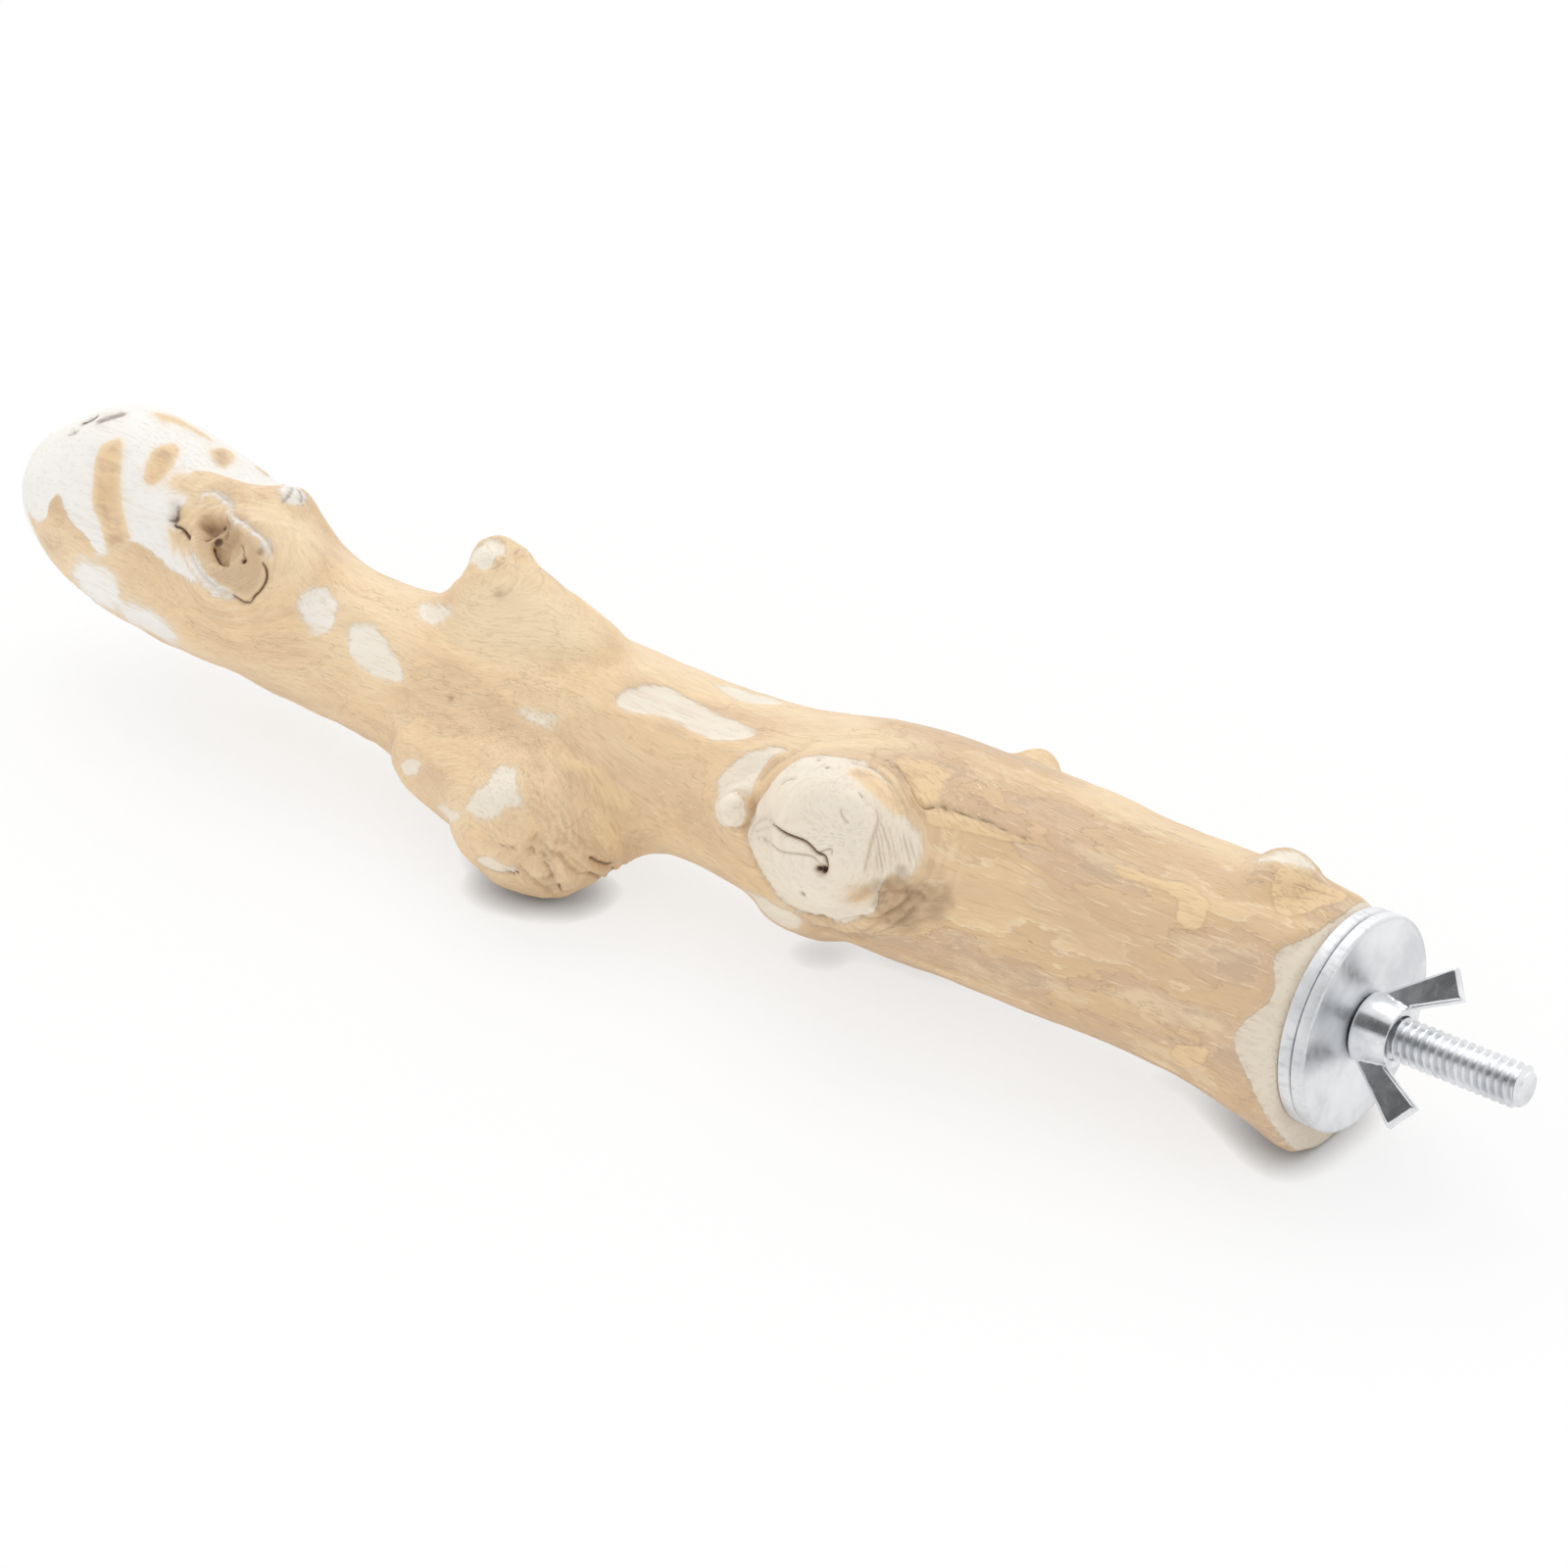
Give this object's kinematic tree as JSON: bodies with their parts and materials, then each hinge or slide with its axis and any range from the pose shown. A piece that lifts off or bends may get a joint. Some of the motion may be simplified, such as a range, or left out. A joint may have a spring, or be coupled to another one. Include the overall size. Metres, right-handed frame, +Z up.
{
  "type": "bird perch",
  "caption": "Natural debarked wood limb perch with knots and branch stubs; a hanger bolt, flat washers and a wing nut clamp its sawn end to a cage.",
  "frame": {"origin": "on the bolt's axis, in the clamp plane where the two washers meet", "axes": "+X out along the bolt, away from the limb; +Z up as the perch lies on a table; +Y makes it right-handed"},
  "size_m": [0.2845, 0.0527, 0.0486],
  "materials": {
    "wood": "bare sanded wood with patches of inner bark",
    "bolt_zinc": "bright zinc plate",
    "washer_zinc": "bright zinc plate",
    "nut_zinc": "bright zinc plate"
  },
  "bodies": {
    "perch": {"limb": "wood", "hanger_bolt": "bolt_zinc"},
    "inner_washer": {"inner_washer": "washer_zinc"},
    "outer_washer": {"outer_washer": "washer_zinc"},
    "wing_nut": {"wing_nut": "nut_zinc"}
  },
  "joints": [
    {"name": "inner_washer_spin", "type": "hinge", "parent": "perch", "child": "inner_washer", "pos_m": [-0.001, 0, 0], "axis": [1, 0, 0], "continuous": true},
    {"name": "washer_slide", "type": "slide", "parent": "perch", "child": "outer_washer", "axis": [1, 0, 0], "range_m": [0, 0.01905]},
    {"name": "nut_turn", "type": "hinge", "parent": "outer_washer", "child": "wing_nut", "pos_m": [0.0021, 0, 0], "axis": [1, 0, 0], "range_deg": [0, 5400]}
  ],
  "couplings": [
    {"joint": "nut_turn", "follows": "washer_slide", "rad_per_m": 4947.4}
  ]
}
